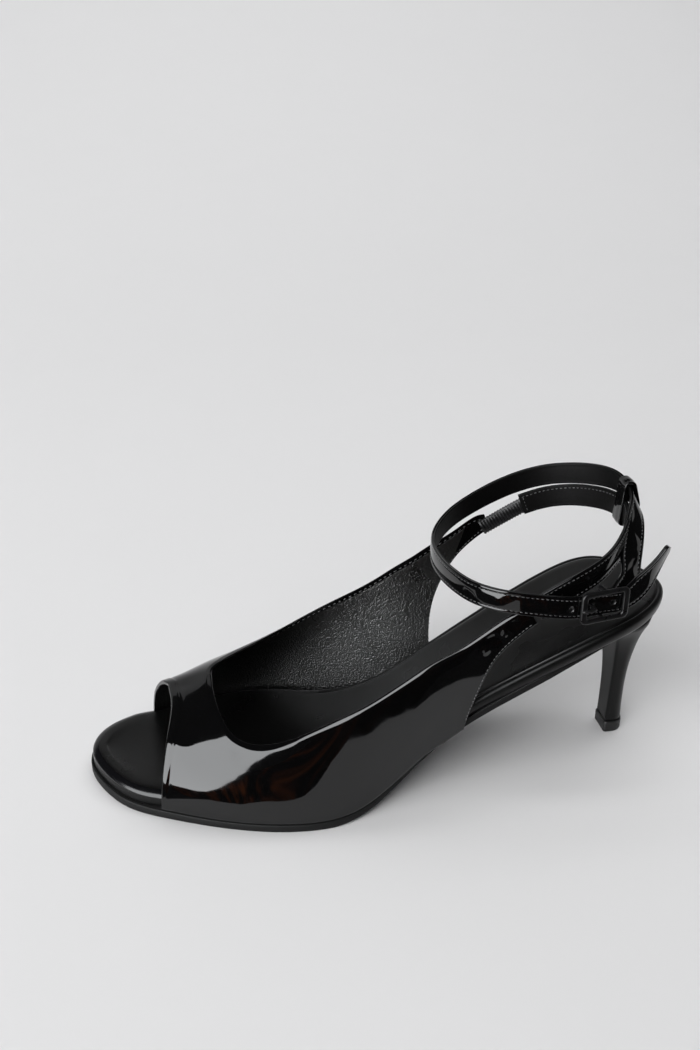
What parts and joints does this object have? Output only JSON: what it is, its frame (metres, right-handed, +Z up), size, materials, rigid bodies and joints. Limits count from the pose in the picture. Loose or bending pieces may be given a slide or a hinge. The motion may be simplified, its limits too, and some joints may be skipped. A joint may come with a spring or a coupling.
{
  "type": "kitten heel slingback",
  "caption": "Left women's peep-toe slingback in black patent leather with an elastic-backed sling strap, a buckled ankle strap and a slim heel.",
  "frame": {"origin": "on the floor under the middle of the shoe's bounding box", "axes": "+X towards the heel (the toe points to -X), +Y towards the inner side of the foot, +Z up"},
  "size_m": [0.2261, 0.0851, 0.1107],
  "materials": {
    "sole_rubber": "satin",
    "insole_leather": "satin",
    "patent_leather": "gloss",
    "heel_cover": "gloss",
    "tip_rubber": "matte",
    "sling_leather": "gloss",
    "elastic_webbing": "matte",
    "strap_leather": "gloss",
    "loop_leather": "gloss",
    "buckle_metal": "satin",
    "prong_metal": "satin"
  },
  "bodies": {
    "root": {"outsole": "sole_rubber", "insole": "insole_leather", "upper": "patent_leather", "heel": "heel_cover", "heel_tip": "tip_rubber", "sling_strap": "sling_leather", "elastic": "elastic_webbing", "ankle_strap": "strap_leather", "strap_loop": "loop_leather", "buckle": "buckle_metal", "buckle_prong": "prong_metal"}
  },
  "joints": []
}
